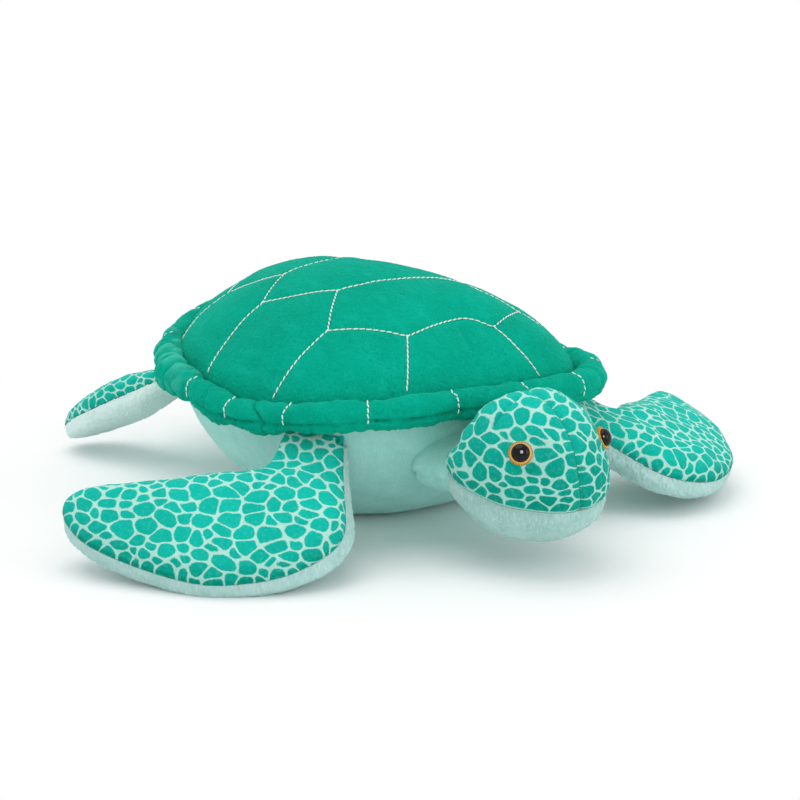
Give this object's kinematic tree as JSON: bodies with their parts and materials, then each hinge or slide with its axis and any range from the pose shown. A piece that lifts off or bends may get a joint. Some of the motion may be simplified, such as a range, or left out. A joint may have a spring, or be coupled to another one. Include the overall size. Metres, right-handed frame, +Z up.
{
  "type": "plush sea turtle",
  "caption": "Stuffed plush sea turtle with a quilted domed shell, a stuffed rim roll, printed flippers and head, and amber safety eyes; it lies on its belly.",
  "frame": {"origin": "middle of the flat on which the belly rests", "axes": "+Z up, -Y towards the head, +X towards the turtle's left side"},
  "size_m": [0.3605, 0.3296, 0.1161],
  "materials": {
    "shell_minky": "short-pile emerald minky with a nap",
    "printed_plush": "short plush printed with a scale pattern",
    "mint_plush": "pale mint short plush",
    "fibre_filling": "loose polyester fibre",
    "eye_amber": "glossy moulded amber ring",
    "eye_black": "glossy moulded black dome",
    "washer_nylon": "plain moulded nylon"
  },
  "bodies": {
    "body": {"shell_cover": "shell_minky", "belly_panel": "mint_plush", "body_filling": "fibre_filling", "rim_strip": "shell_minky", "rim_filling": "fibre_filling"},
    "neck": {"neck_sleeve": "mint_plush", "neck_filling": "fibre_filling"},
    "head": {"crown_left": "printed_plush", "crown_right": "printed_plush", "chin_panel": "mint_plush", "head_filling": "fibre_filling", "eye_pupil_left": "eye_black", "eye_pupil_right": "eye_black", "eye_iris_left": "eye_amber", "eye_iris_right": "eye_amber", "eye_washer_left": "washer_nylon", "eye_washer_right": "washer_nylon"},
    "front_flipper_left": {"front_flipper_left_top": "printed_plush", "front_flipper_left_underside": "mint_plush", "front_flipper_left_filling": "fibre_filling"},
    "front_flipper_right": {"front_flipper_right_top": "printed_plush", "front_flipper_right_underside": "mint_plush", "front_flipper_right_filling": "fibre_filling"},
    "rear_flipper_left": {"rear_flipper_left_top": "printed_plush", "rear_flipper_left_underside": "mint_plush", "rear_flipper_left_filling": "fibre_filling"},
    "rear_flipper_right": {"rear_flipper_right_top": "printed_plush", "rear_flipper_right_underside": "mint_plush", "rear_flipper_right_filling": "fibre_filling"}
  },
  "joints": [
    {"name": "neck_turn", "type": "hinge", "parent": "body", "child": "neck", "pos_m": [0, -0.10334, 0.041], "axis": [0, 0, 1], "range_deg": [-15, 15], "stiffness_Nm_per_rad": 0.5},
    {"name": "head_nod", "type": "hinge", "parent": "neck", "child": "head", "pos_m": [0, -0.10334, 0.041], "axis": [1, 0, 0], "range_deg": [-10, 15], "stiffness_Nm_per_rad": 0.5},
    {"name": "front_flipper_left_raise", "type": "hinge", "parent": "body", "child": "front_flipper_left", "pos_m": [0.07021, -0.07447, 0.04674], "axis": [-0.5854, -0.801, -0.1253], "range_deg": [-20, 20], "stiffness_Nm_per_rad": 0.5},
    {"name": "front_flipper_right_raise", "type": "hinge", "parent": "body", "child": "front_flipper_right", "pos_m": [-0.07021, -0.07447, 0.04674], "axis": [-0.5854, 0.801, 0.1253], "range_deg": [-20, 20], "stiffness_Nm_per_rad": 0.5},
    {"name": "rear_flipper_left_raise", "type": "hinge", "parent": "body", "child": "rear_flipper_left", "pos_m": [0.06243, 0.07767, 0.05027], "axis": [0.5678, -0.7488, 0.342], "range_deg": [-12, 20], "stiffness_Nm_per_rad": 0.4},
    {"name": "rear_flipper_right_raise", "type": "hinge", "parent": "body", "child": "rear_flipper_right", "pos_m": [-0.06243, 0.07767, 0.05027], "axis": [0.5678, 0.7488, -0.342], "range_deg": [-12, 20], "stiffness_Nm_per_rad": 0.4}
  ]
}
